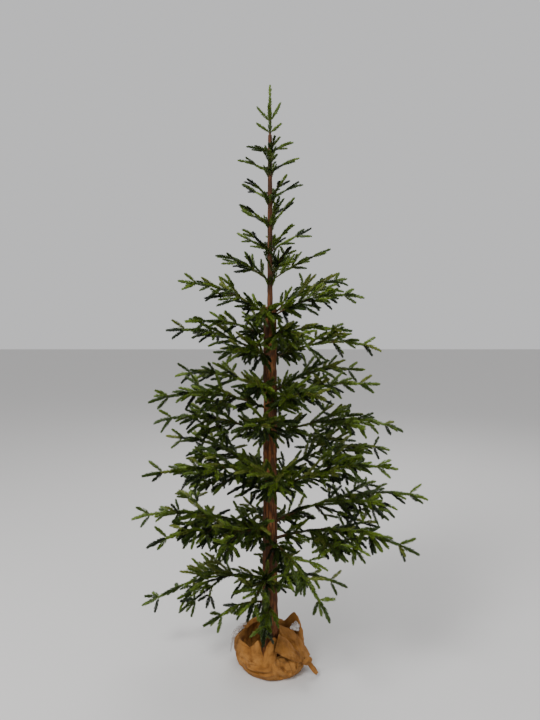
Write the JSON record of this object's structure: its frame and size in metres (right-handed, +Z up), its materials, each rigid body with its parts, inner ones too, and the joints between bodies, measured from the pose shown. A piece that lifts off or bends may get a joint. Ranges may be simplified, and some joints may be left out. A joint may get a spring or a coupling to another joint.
{
  "type": "artificial christmas tree",
  "caption": "Slim artificial alpine Christmas tree with open tiers of needled branches on a bark trunk, standing in a gathered burlap base.",
  "frame": {"origin": "under the trunk's axis, on the flat underside of the base, at floor level", "axes": "+Z up along the trunk, +X to the picture's right, -Y towards the picture's viewer"},
  "size_m": [0.9411, 0.7196, 1.83],
  "materials": {
    "bark": "rough bark",
    "bough": "matt needled wire",
    "needles": "satin needles",
    "burlap": "coarse woven cloth"
  },
  "bodies": {
    "root": {"bough_tier_10_right": "bough", "bough_tier_7_right": "bough", "bough_tier_9_left": "bough", "bough_tier_9_right": "bough", "burlap_base": "burlap", "foliage_low_front": "needles", "foliage_low_left": "needles", "foliage_tier_10_back": "needles", "foliage_tier_10_front": "needles", "foliage_tier_10_left": "needles", "foliage_tier_10_right": "needles", "foliage_tier_11_back": "needles", "foliage_tier_11_front": "needles", "foliage_tier_11_left": "needles", "foliage_tier_11_right": "needles", "foliage_tier_1_back": "needles", "foliage_tier_1_front": "needles", "foliage_tier_1_left": "needles", "foliage_tier_1_right": "needles", "foliage_tier_2_back": "needles", "foliage_tier_2_front": "needles", "foliage_tier_2_left": "needles", "foliage_tier_2_right": "needles", "foliage_tier_3_back": "needles", "foliage_tier_3_front": "needles", "foliage_tier_3_left": "needles", "foliage_tier_3_right": "needles", "foliage_tier_4_back": "needles", "foliage_tier_4_front": "needles", "foliage_tier_4_left": "needles", "foliage_tier_4_right": "needles", "foliage_tier_5_back": "needles", "foliage_tier_5_front": "needles", "foliage_tier_5_left": "needles", "foliage_tier_5_right": "needles", "foliage_tier_6_back": "needles", "foliage_tier_6_front": "needles", "foliage_tier_6_left": "needles", "foliage_tier_6_right": "needles", "foliage_tier_7_back": "needles", "foliage_tier_7_front": "needles", "foliage_tier_7_left": "needles", "foliage_tier_7_right": "needles", "foliage_tier_8_back": "needles", "foliage_tier_8_front": "needles", "foliage_tier_8_left": "needles", "foliage_tier_8_right": "needles", "foliage_tier_9_back": "needles", "foliage_tier_9_front": "needles", "foliage_tier_9_left": "needles", "foliage_tier_9_right": "needles", "foliage_upper_1": "needles", "foliage_upper_2": "needles", "foliage_upper_3": "needles", "foliage_upper_4": "needles", "foliage_upper_5": "needles", "foliage_upper_6": "needles", "leader": "needles", "lower_trunk": "bark", "upper_trunk": "bark"}
  },
  "joints": []
}
